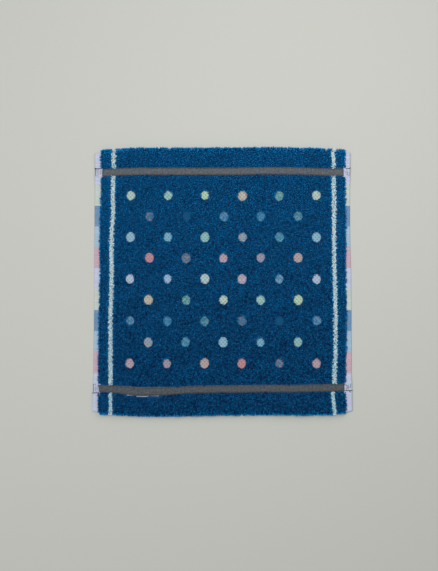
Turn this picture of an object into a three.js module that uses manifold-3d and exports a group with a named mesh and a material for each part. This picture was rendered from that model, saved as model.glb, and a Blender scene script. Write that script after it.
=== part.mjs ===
// Terry towel handkerchief lying face up: one woven cloth with a flat selvedge down each side and a
// hem turned to the back at each end, and a grey tape sewn over each hem line.
// Millimetres, +Z up, +X across the cloth, +Y along it, origin on the surface under its middle.
import * as THREE from "three";
import { mergeGeometries, mergeVertices } from "three/addons/utils/BufferGeometryUtils.js";
import Module from "manifold-3d";

// Cloth
const groundThick = 1;
const pileHeight = 2.1;
const pileUneven = 0.2; // how far the top of the pile rises and falls over the field
const pileWaves = { across: 19, along: 27, slant: 33 }; // lengths of that rise and fall
const pileRound = 1; // width of the pile's rounded edge beside a selvedge
const selvedgeLift = 0.5; // how far a selvedge's outer edge stands off the surface at most
const selvedgeWave = 14; // length of that lift's rise and fall
const fieldSteps = 9; // sections of the field between the two hems
const acrossSteps = 18; // sections across the pile

// Hems
const layerGap = 0.4; // between the two layers of a hem
const hemUnder = 2.2; // thickness of the layer turned under
const bareUnder = 1; // the same in a selvedge
const foldSteps = 6; // facets round a hem's fold
const hemMiddle = 115; // how far along the cloth a hem's middle lies

// Tapes
const tapeWidth = 7;
const tapeThick = 0.9;
const tapeCrown = 0.15; // how far the tape's middle stands above its edges
const tapeClear = 0.3; // from the tape to the cloth all round
const tapeBed = tapeWidth / 2 + tapeClear; // half width of the pile-free strip that holds it
const tapeShoulder = tapeBed + 0.9; // where the pile beside the tape has its full height

// Dots: windows in the pile, in rows that stand between each other
const dotRows = 9;
const dotsInRow = 6; // in the first row and every other one, with one dot fewer in those between
const dotPitchAcross = 35.45;
const dotPitchAlong = 19.96;
const dotCentre = { x: 0.5, y: 2.15 };
const dotWidth = 8.4;
const dotLength = 10;
const dotTaper = 0.82; // floor of a window against its mouth
const dotOverrun = 2; // how far the cutting plug stands above the pile
const dotSides = 10;

// Uneven sides of the cloth, a row for each height where they change, seen from the front.
const sides = [
  { y: -128, leftEdge: -122.5, leftPile: -116.3, rightPile: 116.5, rightEdge: 122.3 },
  { y: -108, leftEdge: -122.3, leftPile: -116.6, rightPile: 115.4, rightEdge: 122.1 },
  { y: -88, leftEdge: -121.9, leftPile: -117.3, rightPile: 116.3, rightEdge: 122 },
  { y: -58, leftEdge: -121.8, leftPile: -117.6, rightPile: 117.4, rightEdge: 122.1 },
  { y: -28, leftEdge: -121.9, leftPile: -117.1, rightPile: 117.8, rightEdge: 122.4 },
  { y: 5, leftEdge: -122, leftPile: -116.7, rightPile: 117.3, rightEdge: 122.4 },
  { y: 38, leftEdge: -122.1, leftPile: -117.4, rightPile: 117.8, rightEdge: 121.8 },
  { y: 65, leftEdge: -122.2, leftPile: -117, rightPile: 118.2, rightEdge: 121.8 },
  { y: 95, leftEdge: -122.1, leftPile: -116, rightPile: 117.4, rightEdge: 122.2 },
  { y: 128, leftEdge: -122.2, leftPile: -116.3, rightPile: 117, rightEdge: 122.5 },
];

// Uneven ends: the two folds and the middle lines of the two tapes, a row for each place across.
const ends = [
  { x: -122.5, bottomFold: -122.8, bottomTape: -101.4, topTape: 103.2, topFold: 122.8 },
  { x: -117, bottomFold: -124.8, bottomTape: -101.6, topTape: 103.4, topFold: 124.6 },
  { x: -108, bottomFold: -126, bottomTape: -102, topTape: 104.3, topFold: 126 },
  { x: -93, bottomFold: -127.1, bottomTape: -103.3, topTape: 104.9, topFold: 127.1 },
  { x: -79, bottomFold: -127.8, bottomTape: -104.6, topTape: 105.2, topFold: 127.4 },
  { x: -57, bottomFold: -128, bottomTape: -104.2, topTape: 105.1, topFold: 127.4 },
  { x: -27, bottomFold: -127.4, bottomTape: -102.7, topTape: 105.1, topFold: 127.4 },
  { x: 3, bottomFold: -126.9, bottomTape: -102.1, topTape: 105.1, topFold: 127.5 },
  { x: 45, bottomFold: -126.5, bottomTape: -101.7, topTape: 105.7, topFold: 128 },
  { x: 72, bottomFold: -126.9, bottomTape: -101.7, topTape: 105.5, topFold: 127.5 },
  { x: 95, bottomFold: -126.6, bottomTape: -101.1, topTape: 104.6, topFold: 126.9 },
  { x: 108, bottomFold: -126.1, bottomTape: -100.9, topTape: 104.1, topFold: 126.4 },
  { x: 117, bottomFold: -124.6, bottomTape: -100.8, topTape: 103.7, topFold: 125.1 },
  { x: 122.5, bottomFold: -122.6, bottomTape: -100.7, topTape: 103.3, topFold: 123.1 },
];

// Upper layer of one end, from the field out to the fold. out: distance outwards from the tape's
// middle line or from the fold. rise: height of the ground's underside. pile: share of the pile's
// height. bareRise: the rise in a selvedge.
const upperLayer = [
  { from: "Tape", out: -16, rise: 0, pile: 1, bareRise: 0 },
  { from: "Tape", out: -9, rise: 0.7, pile: 1, bareRise: 0.5 },
  { from: "Tape", out: -tapeShoulder, rise: 1.4, pile: 1, bareRise: 1.1 },
  { from: "Tape", out: -tapeBed, rise: 1.6, pile: 0, bareRise: 1.3 },
  { from: "Tape", out: tapeBed, rise: 1.6, pile: 0, bareRise: 1.3 },
  { from: "Tape", out: tapeShoulder, rise: 1.8, pile: 1, bareRise: 1.3 },
  { from: "Tape", out: 8.5, rise: 2.4, pile: 1, bareRise: 1.35 },
  { from: "Fold", out: -8, rise: hemUnder + layerGap, pile: 1, bareRise: bareUnder + layerGap },
];

// Under layer of one end, from the fold back in to the raw edge, face down on the surface.
const underLayer = [
  { from: "Fold", out: -8, thick: hemUnder, bareThick: bareUnder },
  { from: "Tape", out: 6.5, thick: 1.5, bareThick: 0.9 },
  { from: "Tape", out: 3, thick: 1.2, bareThick: 0.9 },
  { from: "Tape", out: -3.3, thick: 1.2, bareThick: 0.9 },
];

const { lerp, clamp, smoothstep } = THREE.MathUtils;

// A column's value at a place between a table's rows, eased from row to row.
function columnAt(rows, key, place, column) {
  let row = 0;
  while (row < rows.length - 2 && rows[row + 1][key] < place) row += 1;
  const [low, high] = [rows[row], rows[row + 1]];
  const share = clamp((place - low[key]) / (high[key] - low[key]), 0, 1);
  return lerp(low[column], high[column], smoothstep(share, 0, 1));
}

// Slow rise and fall of the pile over the field.
function pileWave(x, y) {
  const swell = Math.sin(x / pileWaves.across + 1) * Math.cos(y / pileWaves.along);
  return pileUneven * (swell + Math.sin((x + y) / pileWaves.slant)) / 2;
}

// Stations across the cloth, left to right. side: which edge it belongs to. pile: share of the
// pile's height there. reach: place between the pile's left and right edges.
function acrossStations() {
  const selvedge = [
    { at: "Edge", pile: 0, edge: 1 },
    { at: "Pile", pile: 0, edge: 0, inset: 0 },
    { at: "Pile", pile: 0.75, edge: 0, inset: 0.35 * pileRound },
    { at: "Pile", pile: 1, edge: 0, inset: pileRound },
  ];
  const left = selvedge.map((row) => ({ ...row, side: "left", inward: 1 }));
  const right = selvedge.map((row) => ({ ...row, side: "right", inward: -1 })).reverse();
  const field = [];
  for (let step = 1; step < acrossSteps; step += 1) {
    field.push({ reach: step / acrossSteps, pile: 1, edge: 0 });
  }
  return [...left, ...field, ...right];
}

function stationX(station, y) {
  if (station.at === "Edge") return columnAt(sides, "y", y, station.side + "Edge");
  if (station.at === "Pile") {
    return columnAt(sides, "y", y, station.side + "Pile") + station.inward * station.inset;
  }
  const first = columnAt(sides, "y", y, "leftPile") + pileRound;
  const last = columnAt(sides, "y", y, "rightPile") - pileRound;
  return lerp(first, last, station.reach);
}

// Heights of a station of an end's upper layer.
function upperHeights(row, station) {
  const back = lerp(row.bareRise, row.rise, station.pile);
  return { back, face: back + groundThick + pileHeight * row.pile * station.pile };
}

// One end's section at a station across, as places { y, back, face } from the field to the raw edge.
// Round the fold the back and the face have places of their own along the cloth.
function endSection(station, end, outward) {
  const x = stationX(station, outward * hemMiddle);
  const line = {
    Tape: columnAt(ends, "x", x, end + "Tape"),
    Fold: columnAt(ends, "x", x, end + "Fold"),
  };
  const placed = [];
  for (const row of upperLayer) {
    const y = line[row.from] + outward * row.out;
    const { back, face } = upperHeights(row, station);
    placed.push({ backY: y, faceY: y, back, face });
  }
  const crown = upperHeights(upperLayer[upperLayer.length - 1], station);
  const radius = crown.face / 2;
  const inner = layerGap / 2;
  const middle = crown.back - inner;
  for (let step = 0; step <= foldSteps; step += 1) {
    const angle = Math.PI / 2 - (Math.PI * step) / foldSteps;
    const centreY = line.Fold - outward * radius;
    placed.push({
      backY: centreY + outward * inner * Math.cos(angle),
      faceY: centreY + outward * radius * Math.cos(angle),
      back: middle + inner * Math.sin(angle),
      face: radius + radius * Math.sin(angle),
    });
  }
  for (const row of underLayer) {
    const y = line[row.from] + outward * row.out;
    placed.push({ backY: y, faceY: y, back: lerp(row.bareThick, row.thick, station.pile), face: 0 });
  }
  return placed;
}

// The whole section at a station, from the raw edge of the bottom hem to that of the top hem.
function clothSection(station) {
  const bottom = endSection(station, "bottom", -1).reverse();
  const top = endSection(station, "top", 1);
  const first = bottom[bottom.length - 1].faceY;
  const last = top[0].faceY;
  const field = [];
  for (let step = 1; step < fieldSteps; step += 1) {
    const y = lerp(first, last, step / fieldSteps);
    const lift = station.edge * selvedgeLift * Math.sin((Math.PI * step) / fieldSteps) ** 2;
    const back = lift * (0.5 + 0.5 * Math.sin(y / selvedgeWave));
    const face = back + groundThick + (pileHeight + pileWave(stationX(station, y), y)) * station.pile;
    field.push({ backY: y, faceY: y, back, face });
  }
  return [...bottom, ...field, ...top];
}

// Closed solid between two grids of points of the same size, the faces of one looking out upwards.
function solidBetween(upper, lower) {
  const columns = upper.length;
  const rows = upper[0].length;
  const points = [...upper.flat(), ...lower.flat()];
  const up = (column, row) => column * rows + row;
  const low = (column, row) => columns * rows + column * rows + row;
  const faces = [];
  const quad = (a, b, c, d) => faces.push(a, b, c, a, c, d);
  for (let column = 0; column < columns - 1; column += 1) {
    for (let row = 0; row < rows - 1; row += 1) {
      quad(up(column, row), up(column + 1, row), up(column + 1, row + 1), up(column, row + 1));
      quad(low(column, row), low(column, row + 1), low(column + 1, row + 1), low(column + 1, row));
    }
    quad(low(column, 0), low(column + 1, 0), up(column + 1, 0), up(column, 0));
    quad(up(column, rows - 1), up(column + 1, rows - 1), low(column + 1, rows - 1), low(column, rows - 1));
  }
  for (let row = 0; row < rows - 1; row += 1) {
    quad(low(0, row), up(0, row), up(0, row + 1), low(0, row + 1));
    quad(up(columns - 1, row), low(columns - 1, row), low(columns - 1, row + 1), up(columns - 1, row + 1));
  }
  const geometry = new THREE.BufferGeometry();
  geometry.setAttribute("position", new THREE.Float32BufferAttribute(points.flat(), 3));
  geometry.setIndex(faces);
  return geometry;
}

function clothBody() {
  const face = [];
  const back = [];
  for (const station of acrossStations()) {
    const section = clothSection(station);
    face.push(section.map((place) => [stationX(station, place.faceY), place.faceY, place.face]));
    back.push(section.map((place) => [stationX(station, place.faceY), place.backY, place.back]));
  }
  return solidBetween(face, back);
}

// All the windows in the pile, as one cutting shape: tapered oval plugs standing on the ground weave.
function dotPlugs() {
  const depth = pileHeight + dotOverrun;
  const plugs = [];
  for (let row = 0; row < dotRows; row += 1) {
    const count = dotsInRow - (row % 2);
    for (let place = 0; place < count; place += 1) {
      const plug = new THREE.CylinderGeometry(0.5, 0.5 * dotTaper, depth, dotSides);
      plug.deleteAttribute("normal");
      plug.deleteAttribute("uv");
      plug.rotateX(Math.PI / 2);
      plug.scale(dotWidth, dotLength, 1);
      const x = dotCentre.x + (place - (count - 1) / 2) * dotPitchAcross;
      const y = dotCentre.y + ((dotRows - 1) / 2 - row) * dotPitchAlong;
      plug.translate(x, y, groundThick + depth / 2);
      plugs.push(plug);
    }
  }
  return mergeGeometries(plugs);
}

// Flat tape bedded in the pile-free strip of one end, a little crowned across its width.
function tapeBody(end) {
  const bed = upperLayer.find((row) => row.out === tapeBed).rise + groundThick + tapeClear;
  const profile = [-0.5, -0.25, 0, 0.25, 0.5];
  const upper = [];
  const lower = [];
  const middle = columnAt(ends, "x", 0, end + "Tape");
  const left = columnAt(sides, "y", middle, "leftPile") + tapeClear;
  const right = columnAt(sides, "y", middle, "rightPile") - tapeClear;
  for (let step = 0; step <= acrossSteps; step += 1) {
    const x = lerp(left, right, step / acrossSteps);
    const line = columnAt(ends, "x", x, end + "Tape");
    lower.push(profile.map((share) => [x, line + share * tapeWidth, bed]));
    upper.push(profile.map((share) => {
      const crown = tapeCrown * Math.cos(Math.PI * share);
      return [x, line + share * tapeWidth, bed + tapeThick - tapeCrown + crown];
    }));
  }
  return solidBetween(upper, lower);
}

const wasm = await Module();
wasm.setup();

function toManifold(geometry) {
  const merged = mergeVertices(geometry);
  const triVerts = new Uint32Array(merged.index.array);
  return new wasm.Manifold(
    new wasm.Mesh({ numProp: 3, vertProperties: merged.attributes.position.array, triVerts }),
  );
}

function toGeometry(manifold) {
  const cut = manifold.getMesh();
  const geometry = new THREE.BufferGeometry();
  geometry.setAttribute("position", new THREE.BufferAttribute(cut.vertProperties, 3));
  geometry.setIndex(new THREE.BufferAttribute(cut.triVerts, 1));
  return geometry;
}

function namedMesh(name, geometry, color, roughness) {
  geometry.computeVertexNormals();
  const material = new THREE.MeshStandardMaterial({ color, roughness, metalness: 0 });
  const mesh = new THREE.Mesh(geometry, material);
  mesh.name = name;
  return mesh;
}

const handkerchief = new THREE.Group();
const clothWithDots = toManifold(clothBody()).subtract(toManifold(dotPlugs()));
handkerchief.add(namedMesh("cloth", toGeometry(clothWithDots), 0x0f4f80, 0.95));
handkerchief.add(namedMesh("band_top", tapeBody("top"), 0x5b6063, 0.9));
handkerchief.add(namedMesh("band_bottom", tapeBody("bottom"), 0x5b6063, 0.9));

export default handkerchief;
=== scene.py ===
import math
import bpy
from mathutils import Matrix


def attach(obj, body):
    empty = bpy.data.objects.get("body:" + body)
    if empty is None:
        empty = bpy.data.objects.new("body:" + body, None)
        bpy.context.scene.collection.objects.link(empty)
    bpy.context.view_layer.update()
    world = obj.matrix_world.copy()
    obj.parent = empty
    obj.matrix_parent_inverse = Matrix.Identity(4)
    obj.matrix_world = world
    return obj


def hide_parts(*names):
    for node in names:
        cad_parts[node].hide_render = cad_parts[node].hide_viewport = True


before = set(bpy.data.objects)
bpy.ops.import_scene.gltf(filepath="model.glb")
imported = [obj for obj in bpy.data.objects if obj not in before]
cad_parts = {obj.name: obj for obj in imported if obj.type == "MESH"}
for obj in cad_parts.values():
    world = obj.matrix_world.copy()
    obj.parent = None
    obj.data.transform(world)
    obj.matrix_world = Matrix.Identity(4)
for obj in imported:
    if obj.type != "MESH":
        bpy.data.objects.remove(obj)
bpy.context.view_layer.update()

from types import SimpleNamespace

import bmesh
import bpy
import numpy as np
from mathutils import Vector
from mathutils.bvhtree import BVHTree

mm = 0.001  # shapes are worked out in millimetres and scaled by this as they become meshes
dice = np.random.default_rng(41)  # one seeded source for everything uneven
scene = bpy.context.scene
print("frame loaded:", sorted(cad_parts))


# camera, nearly straight down, leaning in a little from the lower hem's side
shot = {
    "lens": 50.0,
    "sensor": 36.0,
    "aim": (-3.3, -4.4, 0.0),
    "distance": 755.0,
    "elevation": 86.65,
    "nearClip": 20.0,
}


def placeCamera():
    lift = math.radians(shot["elevation"])
    away = Vector((0.0, -math.cos(lift), math.sin(lift)))
    data = bpy.data.cameras.new("overheadCamera")
    data.lens = shot["lens"]
    data.sensor_width = shot["sensor"]
    data.clip_start = shot["nearClip"] * mm
    camera = bpy.data.objects.new("overheadCamera", data)
    camera.location = (Vector(shot["aim"]) + away * shot["distance"]) * mm
    camera.rotation_euler = (-away).to_track_quat("-Z", "Y").to_euler()
    scene.collection.objects.link(camera)
    scene.camera = camera


placeCamera()
print("camera placed")


# small helpers
def paint(red, green, blue):
    # a colour as seen on screen, 0 to 255, turned into the linear values that nodes take
    shares = [value / 255.0 for value in (red, green, blue)]
    return [s / 12.92 if s <= 0.04045 else ((s + 0.055) / 1.055) ** 2.4 for s in shares] + [1.0]


def smooth(share):
    share = np.clip(share, 0.0, 1.0)
    return share * share * (3.0 - 2.0 * share)


def blend(a, b, share):
    return a + (b - a) * share


def wobble(reach, count):
    return dice.uniform(-reach, reach, count)


def unit(vectors):
    return vectors / np.maximum(np.linalg.norm(vectors, axis=-1, keepdims=True), 1e-9)


def addObject(name, mesh, *materials):
    for material in materials:
        mesh.materials.append(material)
    piece = bpy.data.objects.new(name, mesh)
    scene.collection.objects.link(piece)
    return piece


def finishMesh(name, bm):
    mesh = bpy.data.meshes.new(name)
    bm.to_mesh(mesh)
    bm.free()
    return mesh


def thicken(piece, thick):
    wall = piece.modifiers.new("thickness", "SOLIDIFY")
    wall.thickness = thick * mm
    wall.offset = 0.0
    return wall


# lines of the lying cloth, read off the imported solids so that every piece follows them
reading = {
    "step": 1.0,
    "alongReach": 127.0,
    "acrossReach": 122.0,
    "rayStart": 200.0,
    "edgeHeights": (0.6, 1.2, 1.8),
    "fieldPileHeight": 2.3,
    "hemPileHeight": 3.6,
    "fieldEnd": 86.0,
    "hemStart": 111.0,
    "cornerStart": 117.0,
    "foldHeights": (1.2, 2.85),
    "tapeHeight": 3.3,
    "tapeSettle": {-1: 0.0, 1: 0.4},
    "settleEnd": 112.0,
    "settleRun": 12.0,
    "softening": 9,
}


def rayTree(piece):
    points = [vertex.co / mm for vertex in piece.data.vertices]
    faces = [tuple(face.vertices) for face in piece.data.polygons]
    return BVHTree.FromPolygons(points, faces)


def furthest(tree, starts, way):
    hits = [tree.ray_cast(Vector(start), Vector(way))[0] for start in starts]
    reached = [hit.dot(Vector(way)) for hit in hits if hit is not None]
    return min(reached) if reached else math.nan


def fillAndSoften(places, values):
    values = np.array(values)
    known = np.isfinite(values)
    values = np.interp(places, places[known], values[known])
    width = reading["softening"]
    padded = np.pad(values, width // 2, mode="edge")
    return np.convolve(padded, np.ones(width) / width, mode="valid")


def readSide(tree, side, heightsAt):
    found = []
    for y in alongPlaces:
        starts = [(side * reading["rayStart"], y, z) for z in heightsAt(y)]
        found.append(-side * furthest(tree, starts, (-side, 0.0, 0.0)))
    return fillAndSoften(alongPlaces, found)


def readEnd(tree, end, heights):
    found = []
    for x in acrossPlaces:
        starts = [(x, end * reading["rayStart"], z) for z in heights]
        found.append(-end * furthest(tree, starts, (0.0, -end, 0.0)))
    return fillAndSoften(acrossPlaces, found)


def edgeHeightsAt(y):
    # the corners' rounding is left to the fold lines
    return reading["edgeHeights"] if abs(y) < reading["cornerStart"] else ()


def pileHeightsAt(y):
    if abs(y) < reading["fieldEnd"]:
        return (reading["fieldPileHeight"],)
    if reading["hemStart"] < abs(y) < reading["cornerStart"]:
        return (reading["hemPileHeight"],)
    return ()


def evenPlaces(reach):
    return np.arange(-reach, reach + reading["step"] / 2.0, reading["step"])


alongPlaces = evenPlaces(reading["alongReach"])
acrossPlaces = evenPlaces(reading["acrossReach"])
clothTree = rayTree(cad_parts["cloth"])
sideLine = {}
for side in (-1, 1):
    sideLine["edge", side] = readSide(clothTree, side, edgeHeightsAt)
    sideLine["pile", side] = readSide(clothTree, side, pileHeightsAt)
endLine = {}
for end, bandNode in ((-1, "band_bottom"), (1, "band_top")):
    bandTree = rayTree(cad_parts[bandNode])
    near = readEnd(bandTree, end, (reading["tapeHeight"],))
    far = readEnd(bandTree, -end, (reading["tapeHeight"],))
    endLine["fold", end] = readEnd(clothTree, end, reading["foldHeights"])
    settled = smooth((reading["settleEnd"] - acrossPlaces) / reading["settleRun"])
    endLine["tape", end] = (near + far) / 2.0 - reading["tapeSettle"][end] * settled
slant = {side: float(np.polyfit(alongPlaces, sideLine["pile", side], 1)[0]) for side in (-1, 1)}


def drawnIn(x, y):
    # how far the cloth's length lies aslant at a place, its two sides not being quite parallel
    left, right = sideLine["pile", -1], sideLine["pile", 1]
    share = (x - float(np.mean(left))) / float(np.mean(right - left))
    return blend(slant[-1], slant[1], share) * y


def sideAt(kind, side, y):
    return np.interp(y, alongPlaces, sideLine[kind, side])


def endAt(kind, end, x):
    return np.interp(x, acrossPlaces, endLine[kind, end])


def atEitherEnd(kind, end, x):
    # the line of whichever end each place belongs to
    return np.where(end > 0, endAt(kind, 1, x), endAt(kind, -1, x))


print("cloth lines read: tapes near", round(float(endAt("tape", 1, 0.0)), 1),
      "and", round(float(endAt("tape", -1, 0.0)), 1), "mm")


# section of the ground weave along the cloth, its hems turned under
ground = {
    "thick": 0.7,
    "seat": 0.1,
    "foldInner": 0.2,
    "pile": 2.1,
    "solidGround": 1.0,
    "shoulder": 1.6,
    "selvedgeColumns": 6,
    "pileColumns": 78,
    "rows": 640,
    "hemMiddle": 115.0,
    "foldSteps": 9,
    "fieldSteps": 60,
    "smoothing": 2,
    "liftHeight": 0.2,
    "liftLength": 14.0,
    "liftEnd": 90.0,
    "liftFade": 20.0,
}

# upper layer of one end: out from the tape's middle or the fold, rise under the pile and in a selvedge
upperRows = [
    {"line": "tape", "out": -16.0, "rise": 0.0, "bare": 0.0},
    {"line": "tape", "out": -9.0, "rise": 0.7, "bare": 0.5},
    {"line": "tape", "out": -4.7, "rise": 1.4, "bare": 1.1},
    {"line": "tape", "out": -3.8, "rise": 1.6, "bare": 1.3},
    {"line": "tape", "out": 3.8, "rise": 1.6, "bare": 1.3},
    {"line": "tape", "out": 4.7, "rise": 1.8, "bare": 1.3},
    {"line": "tape", "out": 8.5, "rise": 2.4, "bare": 1.35},
    {"line": "fold", "out": -8.0, "rise": 2.6, "bare": 1.4},
]

# layer turned under, from the fold back in to the raw edge
underRows = [
    {"line": "fold", "out": -8.0, "thick": 2.2, "bare": 1.0},
    {"line": "tape", "out": 6.5, "thick": 1.5, "bare": 0.95},
    {"line": "tape", "out": 3.0, "thick": 1.2, "bare": 0.95},
    {"line": "tape", "out": -3.3, "thick": 1.2, "bare": 0.95},
]


def endPath(end, x, pileShare):
    # (y, z) of the ground's middle for many places across at once, from the field out to the raw edge
    lift = ground["seat"] + ground["thick"] / 2.0
    path = []
    for row in upperRows:
        y = endAt(row["line"], end, x) + end * row["out"]
        path.append((y, blend(row["bare"], row["rise"], pileShare) + lift))
    crown = blend(upperRows[-1]["bare"], upperRows[-1]["rise"], pileShare)
    radius = (crown + ground["solidGround"] + ground["pile"] * pileShare) / 2.0
    centreY = endAt("fold", end, x) - end * radius
    centreZ = crown - ground["foldInner"]
    turn = ground["foldInner"] + lift
    for angle in np.linspace(math.pi / 2, -math.pi / 2, ground["foldSteps"]):
        path.append((centreY + end * turn * math.cos(angle), centreZ + turn * math.sin(angle)))
    for row in underRows:
        y = endAt(row["line"], end, x) + end * row["out"]
        path.append((y, blend(row["bare"], row["thick"], pileShare) - lift))
    return path


def stationX(column, y):
    # columns run from the left selvedge's edge over the pile to the right selvedge's edge
    flat = ground["selvedgeColumns"]
    left, right = sideAt("pile", -1, y), sideAt("pile", 1, y)
    if column < flat:
        return blend(sideAt("edge", -1, y), left, column / flat)
    if column > flat + ground["pileColumns"]:
        return blend(right, sideAt("edge", 1, y), (column - flat - ground["pileColumns"]) / flat)
    return blend(left, right, (column - flat) / ground["pileColumns"])


def fieldLift(column, y):
    # a selvedge's outer edge waves a little off the surface
    columns = 2 * ground["selvedgeColumns"] + ground["pileColumns"]
    outer = max(1.0 - min(column, columns - column) / ground["selvedgeColumns"], 0.0)
    wave = 0.5 + 0.5 * np.sin(y / ground["liftLength"])
    fade = smooth((ground["liftEnd"] - abs(y)) / ground["liftFade"])
    return ground["liftHeight"] * outer * wave * fade


def layEnd(column, end):
    hemY = end * ground["hemMiddle"]
    x = float(stationX(column, hemY))
    inside = min(x - float(sideAt("pile", -1, hemY)), float(sideAt("pile", 1, hemY)) - x)
    return np.array(endPath(end, x, float(smooth(inside / ground["shoulder"]))))


def layGround():
    # table of the ground's middle: places[column, row] and the length along the cloth from its middle
    columns = 2 * ground["selvedgeColumns"] + ground["pileColumns"] + 1
    rows = ground["rows"]
    middleThird = slice(rows // 3, -rows // 3)
    places = np.zeros((columns, rows, 3))
    lengths = np.zeros((columns, rows))
    for column in range(columns):
        ends = {end: layEnd(column, end) for end in (-1, 1)}
        fieldY = np.linspace(ends[-1][0, 0], ends[1][0, 0], ground["fieldSteps"])[1:-1]
        fieldZ = ground["seat"] + ground["thick"] / 2.0 + fieldLift(column, fieldY)
        path = np.vstack([ends[-1][::-1], np.column_stack([fieldY, fieldZ]), ends[1]])
        run = np.concatenate([[0.0], np.cumsum(np.linalg.norm(np.diff(path, axis=0), axis=1))])
        even = np.linspace(0.0, run[-1], rows)
        y, z = np.interp(even, run, path[:, 0]), np.interp(even, run, path[:, 1])
        for _ in range(ground["smoothing"]):
            y[1:-1] = (y[:-2] + 2.0 * y[1:-1] + y[2:]) / 4.0
            z[1:-1] = (z[:-2] + 2.0 * z[1:-1] + z[2:]) / 4.0
        places[column] = np.column_stack([stationX(column, y), y, z])
        lengths[column] = even - np.interp(0.0, y[middleThird], even[middleThird])
    return places, lengths


groundPlaces, groundLengths = layGround()
acrossWay = unit(np.gradient(groundPlaces, axis=0))
alongWay = unit(np.gradient(groundPlaces, axis=1))
groundUp = unit(np.cross(acrossWay, alongWay))  # towards the pile, so down where the hem is turned under
middleColumn = ground["selvedgeColumns"] + ground["pileColumns"] // 2
clothLength = float(np.ptp(groundLengths[middleColumn]))
print("ground weave laid, length", round(clothLength, 1), "mm with its hems")


def onGround(column, row, table):
    # table's value between its columns and rows, for many places at once
    c = np.clip(column, 0, table.shape[0] - 1.001)
    r = np.clip(row, 0, table.shape[1] - 1.001)
    c0, r0 = c.astype(int), r.astype(int)
    cs, rs = (c - c0), (r - r0)
    if table.ndim == 3:
        cs, rs = cs[:, None], rs[:, None]
    low = blend(table[c0, r0], table[c0 + 1, r0], cs)
    high = blend(table[c0, r0 + 1], table[c0 + 1, r0 + 1], cs)
    return blend(low, high, rs)


# dots: oval windows in the pile, rows standing between each other
dots = {
    "rows": 9,
    "inRow": 6,
    "pitchAcross": 35.45,
    "pitchAlong": 19.96,
    "centre": (0.9, 1.85),
    "halfWidth": 4.05,
    "halfLength": 4.6,
    "roundness": 1.9,
    "shift": 0.2,
    "sizeSpread": 0.05,
    "ringInset": 0.5,
    "ringPitch": 1.05,
    "ringClear": 0.2,
    "ringTurn": 0.2,
    "ringRagged": 0.28,
}


def dotCentres():
    centres = []
    for row in range(dots["rows"]):
        count = dots["inRow"] - row % 2
        for place in range(count):
            x = dots["centre"][0] + (place - (count - 1) / 2.0) * dots["pitchAcross"]
            y = dots["centre"][1] + ((dots["rows"] - 1) / 2.0 - row) * dots["pitchAlong"]
            centres.append((x, y))
    centres = np.array(centres)
    centres[:, 0] += drawnIn(centres[:, 0], centres[:, 1])
    centres += dice.normal(0.0, dots["shift"], centres.shape)
    sizes = 1.0 + dice.normal(0.0, dots["sizeSpread"], len(centres))
    return centres, sizes


dotPlaces, dotSizes = dotCentres()


def nearestDot(x, y):
    # how far out of its nearest dot each place lies, 1 on the window's edge, and the way to its middle
    apartX = np.abs(x[:, None] - dotPlaces[None, :, 0]) / (dots["halfWidth"] * dotSizes)
    apartY = np.abs(y[:, None] - dotPlaces[None, :, 1]) / (dots["halfLength"] * dotSizes)
    power = dots["roundness"]
    out = (apartX ** power + apartY ** power) ** (1.0 / power)
    nearest = np.argmin(out, axis=1)
    toMiddle = dotPlaces[nearest] - np.column_stack([x, y])
    return out[np.arange(len(x)), nearest], unit(toMiddle)


# grey tapes in their beds, crowned across and a little puckered by their stitching
tape = {
    "width": 7.0,
    "thick": 0.6,
    "base": 3.05,
    "crown": 0.15,
    "pucker": 0.06,
    "puckerLength": 3.1,
    "endGaps": {
        (1, -1): {"upper": 1.6, "lower": 0.9},
        (1, 1): {"upper": 1.4, "lower": 1.4},
        (-1, -1): {"upper": -0.5, "lower": 1.0},
        (-1, 1): {"upper": 1.1, "lower": 1.1},
    },
    "columns": 200,
    "rows": 8,
    # the lower tape's greys are darker than the upper's: painted shade, as the light falls off towards the
    # lower hem
    "colours": {
        1: (paint(54, 60, 64), paint(112, 116, 120)),
        -1: (paint(46, 53, 57), paint(100, 104, 108)),
    },
    "rib": 0.55,
    "ribSlant": 0.9,
    "ribShare": 0.6,
    "mottleScale": 0.55,
    "mottleDetail": 5.0,
    "mottleGain": 1.5,
    "mottleStart": -0.5,
    "finish": {"bump": 0.6, "bumpDepth": 0.2, "roughness": 0.85, "gloss": 0.3},
    "spread": {"end": -1, "middle": -72.0, "reach": 30.0, "steep": 1.5, "upper": 0.7, "lower": 0.6},
}


def tapeSpread(end, x):
    # the lower tape is pulled wider along a stretch near its left end
    spread = tape["spread"]
    bulge = smooth(spread["steep"] * (1.0 - np.abs(x - spread["middle"]) / spread["reach"]))
    return bulge * (end == spread["end"])


# terry loops, each a short bent tube with both feet in the ground
loopShape = {
    "pitch": 1.41,
    "jitter": 0.34,
    "rings": 5,
    "sides": 3,
    "radius": 0.42,
    "radiusSpread": 0.06,
    "width": 1.35,
    "widthSpread": 0.25,
    "height": 2.05,
    "heightSpread": 0.3,
    "heightRange": (-0.6, 0.35),
    "tuftHeight": 0.06,
    "belly": 0.25,
    "arch": 0.75,
    "leanArch": 1.4,
    "lean": 0.46,
    "napLean": 0.3,
    "curl": 0.22,
    "sink": 0.25,
    "floorGap": 0.03,
    "leastRoom": 0.3,
    "downward": 0.05,
}

# where the pile ends: at the tapes' beds, at the selvedges and beneath the hems
pileBounds = {
    "innerBed": 3.3,
    "outerBed": 3.7,
    "looseBed": 4.7,
    "looseFrom": -92.0,
    "looseTo": -58.0,
    "bareEnd": 2.2,
    "bareBed": 0.6,
    "endRound": 1.8,
    "upward": 0.1,
    "underStart": 4.7,
    "underShare": 0.35,
    "edgeInset": 0.65,
    "edgeRagged": 0.2,
    "edgeJitter": 0.25,
    "edgePitch": 0.95,
    "rowJitter": 0.3,
    "fieldPanels": {"count": 4, "from": -101.0, "to": 104.0},
}

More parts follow.
